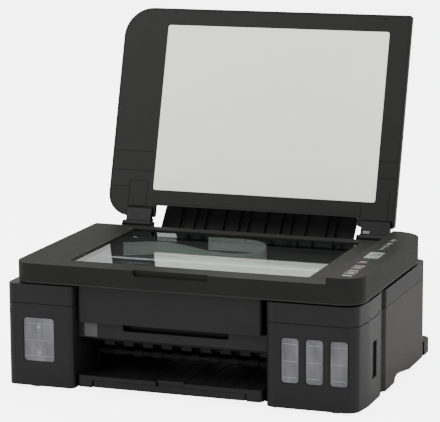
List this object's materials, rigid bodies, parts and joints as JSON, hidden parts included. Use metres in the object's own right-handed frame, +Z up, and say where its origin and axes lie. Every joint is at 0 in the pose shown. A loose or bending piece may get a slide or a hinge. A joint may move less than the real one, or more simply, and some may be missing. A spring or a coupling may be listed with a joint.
{
  "type": "inkjet printer",
  "caption": "Flatbed inkjet printer with side ink tanks behind windows, an opening document cover, a rear paper support and a front output tray.",
  "frame": {"origin": "on the floor, under the middle of the whole object as it stands with the document cover and the paper support open", "axes": "+X to the user's right, +Y to the back, +Z up"},
  "size_m": [0.445, 0.3852, 0.4283],
  "materials": {
    "shell_black": "fine textured charcoal black",
    "shell_side": "fine textured charcoal black",
    "inner_black": "moulded satin black",
    "rubber": "matt rubber",
    "window": "clear moulded window",
    "tank": "milky translucent moulding",
    "cap": "moulded stopper",
    "steel": "plated steel",
    "gear": "ivory engineering plastic",
    "roller": "ground rubber",
    "belt": "reinforced rubber",
    "board": "coated circuit board",
    "glass": "flat clear glass",
    "ribbon": "flat film cable",
    "lcd": "reflective display glass",
    "key": "satin key top",
    "key_red": "satin key top with a red mark",
    "pad": "soft white sheet",
    "tube": "soft clear tube"
  },
  "bodies": {
    "base": {"base_case": "inner_black", "rubber_feet": "rubber", "left_side_cover": "shell_side", "right_side_cover": "shell_side", "rear_cover": "shell_side", "upper_frame": "inner_black", "left_tank_housing": "shell_black", "right_tank_housing": "shell_black", "tank_windows": "window", "ink_tanks": "tank", "tank_caps": "cap", "front_panel": "shell_black", "front_strip": "shell_black", "star_wheel_holder": "inner_black", "platen": "inner_black", "drive_motors": "steel", "paper_drive_belt": "belt", "chassis_frame": "steel", "timing_belt": "belt", "ink_tubes": "tube", "maintenance_unit": "inner_black", "main_board": "board", "power_supply": "inner_black", "rear_sockets": "inner_black"},
    "left_tank_cover": {"left_tank_cover": "shell_black"},
    "right_tank_cover": {"right_tank_cover": "shell_black"},
    "output_tray": {"output_tray": "shell_black"},
    "output_tray_extension": {"output_tray_extension": "shell_black"},
    "star_wheels": {"star_wheels": "steel"},
    "eject_roller": {"eject_roller": "roller"},
    "feed_roller": {"feed_roller": "steel"},
    "motor_pinion": {"motor_pinion": "gear"},
    "pickup_roller": {"pickup_roller": "roller"},
    "carriage": {"carriage": "inner_black", "print_heads": "inner_black"},
    "drive_pulley": {"drive_pulley": "gear"},
    "paper_support": {"paper_support": "inner_black"},
    "paper_support_extension": {"paper_support_extension": "inner_black"},
    "left_paper_guide": {"left_paper_guide": "inner_black"},
    "right_paper_guide": {"right_paper_guide": "inner_black"},
    "feed_slot_cover": {"feed_slot_cover": "shell_side"},
    "scanner_unit": {"scanner_lower_case": "shell_side", "scanner_top_frame": "shell_black", "platen_glass": "glass", "scan_rail": "steel", "scan_ribbon": "ribbon", "control_panel": "shell_black", "lcd_display": "lcd"},
    "scan_bar": {"scan_bar": "inner_black"},
    "document_cover": {"document_cover": "shell_black", "cover_liner": "shell_black", "pressure_pad": "pad", "cover_hinge_arms": "shell_black"},
    "power_button": {"power_button": "key"},
    "menu_button": {"menu_button": "key"},
    "plus_button": {"plus_button": "key"},
    "minus_button": {"minus_button": "key"},
    "stop_button": {"stop_button": "key_red"},
    "black_copy_button": {"black_copy_button": "key"},
    "colour_copy_button": {"colour_copy_button": "key"}
  },
  "joints": [
    {"name": "scanner_lift", "type": "hinge", "parent": "base", "child": "scanner_unit", "pos_m": [0, 0.0984, 0.131], "axis": [1, 0, 0], "range_deg": [-25, 0]},
    {"name": "document_cover_hinge", "type": "hinge", "parent": "scanner_unit", "child": "document_cover", "pos_m": [0, 0.0987, 0.1519], "axis": [1, 0, 0], "range_deg": [0, 106.7]},
    {"name": "right_tank_cover_hinge", "type": "hinge", "parent": "base", "child": "right_tank_cover", "pos_m": [0.221, -0.1476, 0.1076], "axis": [0, 1, 0], "range_deg": [0, 43.75]},
    {"name": "left_tank_cover_hinge", "type": "hinge", "parent": "base", "child": "left_tank_cover", "pos_m": [-0.221, -0.1476, 0.1076], "axis": [0, 1, 0], "range_deg": [-43.75, 0]},
    {"name": "output_tray_slide", "type": "slide", "parent": "base", "child": "output_tray", "axis": [0, -1, 0], "range_m": [0, 0.11]},
    {"name": "tray_extension_slide", "type": "slide", "parent": "output_tray", "child": "output_tray_extension", "axis": [0, -1, 0], "range_m": [0, 0.07]},
    {"name": "feed_roller_spin", "type": "hinge", "parent": "base", "child": "feed_roller", "pos_m": [0, -0.0296, 0.035], "axis": [1, 0, 0], "continuous": true},
    {"name": "motor_pinion_spin", "type": "hinge", "parent": "base", "child": "motor_pinion", "pos_m": [-0.125, -0.0131, 0.035], "axis": [1, 0, 0], "continuous": true},
    {"name": "eject_roller_spin", "type": "hinge", "parent": "base", "child": "eject_roller", "pos_m": [0, -0.1196, 0.035], "axis": [1, 0, 0], "continuous": true},
    {"name": "star_wheels_spin", "type": "hinge", "parent": "base", "child": "star_wheels", "pos_m": [0, -0.1196, 0.0458], "axis": [1, 0, 0], "continuous": true},
    {"name": "pickup_roller_spin", "type": "hinge", "parent": "base", "child": "pickup_roller", "pos_m": [0, 0.07097, 0.09082], "axis": [1, 0, 0], "continuous": true},
    {"name": "carriage_slide", "type": "slide", "parent": "base", "child": "carriage", "axis": [1, 0, 0], "range_m": [-0.3, 0]},
    {"name": "drive_pulley_spin", "type": "hinge", "parent": "base", "child": "drive_pulley", "pos_m": [-0.185, -0.0116, 0.111], "axis": [0, 1, 0], "range_deg": [-3260, 10]},
    {"name": "paper_support_hinge", "type": "hinge", "parent": "base", "child": "paper_support", "pos_m": [0, 0.1264, 0.134], "axis": [1, 0, 0], "range_deg": [-140, 0]},
    {"name": "support_extension_slide", "type": "slide", "parent": "paper_support", "child": "paper_support_extension", "axis": [0, 0.6428, 0.766], "range_m": [0, 0.05]},
    {"name": "right_guide_slide", "type": "slide", "parent": "base", "child": "right_paper_guide", "axis": [-1, 0, 0], "range_m": [0, 0.05]},
    {"name": "left_guide_slide", "type": "slide", "parent": "base", "child": "left_paper_guide", "axis": [1, 0, 0], "range_m": [0, 0.05]},
    {"name": "feed_slot_cover_hinge", "type": "hinge", "parent": "base", "child": "feed_slot_cover", "pos_m": [0, 0.1079, 0.137], "axis": [1, 0, 0], "range_deg": [0, 75]},
    {"name": "scan_bar_slide", "type": "slide", "parent": "scanner_unit", "child": "scan_bar", "axis": [1, 0, 0], "range_m": [0, 0.33]},
    {"name": "power_button_press", "type": "slide", "parent": "scanner_unit", "child": "power_button", "axis": [0, 0, -1], "range_m": [0, 0.0008], "stiffness_N_per_m": 800, "springref_m": -0.0006},
    {"name": "menu_button_press", "type": "slide", "parent": "scanner_unit", "child": "menu_button", "axis": [0, 0, -1], "range_m": [0, 0.0008], "stiffness_N_per_m": 800, "springref_m": -0.0006},
    {"name": "plus_button_press", "type": "slide", "parent": "scanner_unit", "child": "plus_button", "axis": [0, 0, -1], "range_m": [0, 0.0008], "stiffness_N_per_m": 800, "springref_m": -0.0006},
    {"name": "minus_button_press", "type": "slide", "parent": "scanner_unit", "child": "minus_button", "axis": [0, 0, -1], "range_m": [0, 0.0008], "stiffness_N_per_m": 800, "springref_m": -0.0006},
    {"name": "stop_button_press", "type": "slide", "parent": "scanner_unit", "child": "stop_button", "axis": [0, 0, -1], "range_m": [0, 0.0008], "stiffness_N_per_m": 800, "springref_m": -0.0006},
    {"name": "black_copy_button_press", "type": "slide", "parent": "scanner_unit", "child": "black_copy_button", "axis": [0, 0, -1], "range_m": [0, 0.0008], "stiffness_N_per_m": 800, "springref_m": -0.0006},
    {"name": "colour_copy_button_press", "type": "slide", "parent": "scanner_unit", "child": "colour_copy_button", "axis": [0, 0, -1], "range_m": [0, 0.0008], "stiffness_N_per_m": 800, "springref_m": -0.0006}
  ],
  "couplings": [
    {"joint": "right_tank_cover_hinge", "follows": "scanner_lift", "ratio": -1.75},
    {"joint": "left_tank_cover_hinge", "follows": "scanner_lift", "ratio": 1.75},
    {"joint": "motor_pinion_spin", "follows": "feed_roller_spin", "ratio": -2.6667},
    {"joint": "eject_roller_spin", "follows": "feed_roller_spin", "ratio": 1},
    {"joint": "star_wheels_spin", "follows": "feed_roller_spin", "ratio": -0.75},
    {"joint": "drive_pulley_spin", "follows": "carriage_slide", "rad_per_m": 188.68},
    {"joint": "left_guide_slide", "follows": "right_guide_slide", "ratio": 1}
  ]
}
